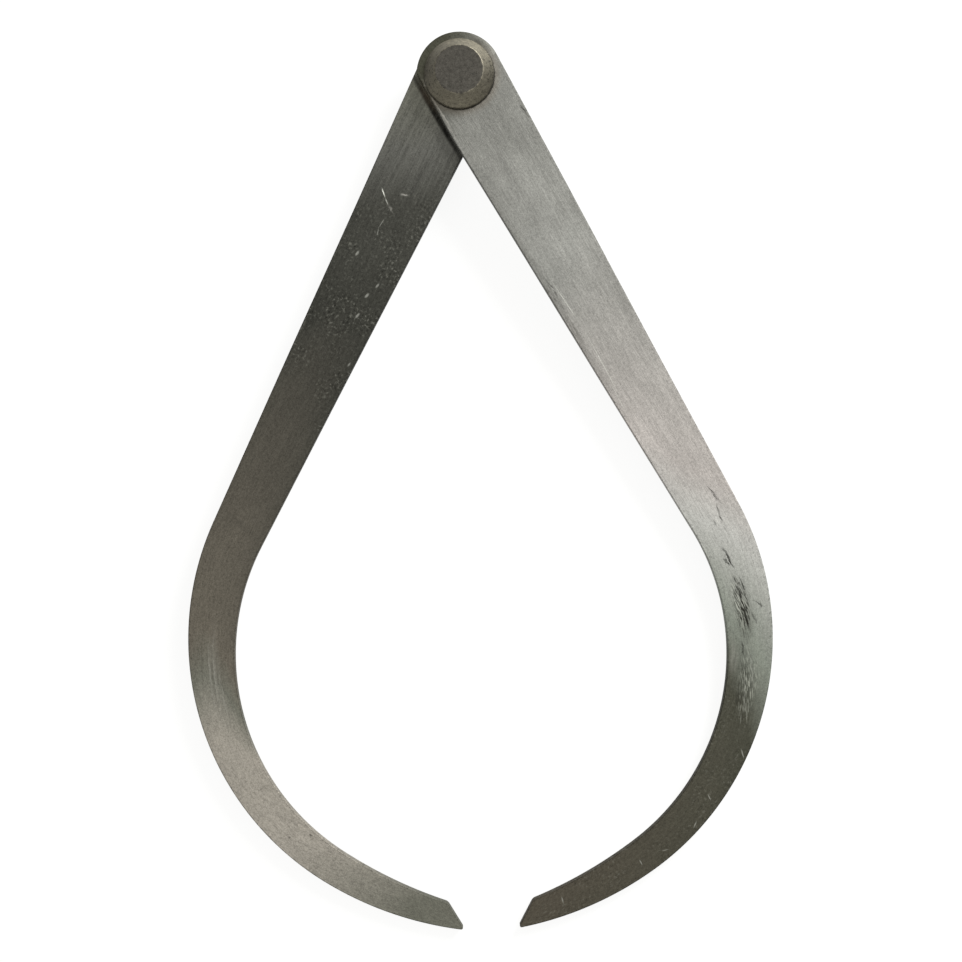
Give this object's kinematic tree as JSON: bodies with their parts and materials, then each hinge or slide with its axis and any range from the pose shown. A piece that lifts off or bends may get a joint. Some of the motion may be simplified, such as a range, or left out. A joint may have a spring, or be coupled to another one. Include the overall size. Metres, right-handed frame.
{
  "type": "outside caliper",
  "caption": "Firm-joint outside caliper: two flat bowed steel legs, set over into one plane, turn on a bevelled friction joint.",
  "frame": {"origin": "on the joint axis, at the back face of the nut and of the stud's end", "axes": "+Z along the joint axis towards the head of the stud, +Y from the measuring tips towards the joint, the front leg on the +X side"},
  "size_m": [0.1376, 0.2108, 0.0146],
  "materials": {
    "front_leg_steel": "brushed lengthwise, worn, with dark pits",
    "rear_leg_steel": "dull brushed, lightly scratched",
    "dark_steel": "turned, dark matt",
    "washer_brass": "dull",
    "nut_steel": "dull, worn at the corners"
  },
  "bodies": {
    "front": {"front_leg": "front_leg_steel", "joint_stud": "dark_steel", "leg_washer": "washer_brass", "rear_friction_washer": "washer_brass", "rear_plate": "dark_steel", "joint_nut": "nut_steel"},
    "rear": {"rear_leg": "rear_leg_steel"}
  },
  "joints": [
    {"name": "firm_joint", "type": "hinge", "parent": "front", "child": "rear", "pos_m": [0, 0, 0.00672], "axis": [0, 0, -1], "range_deg": [-3.8, 278]}
  ]
}
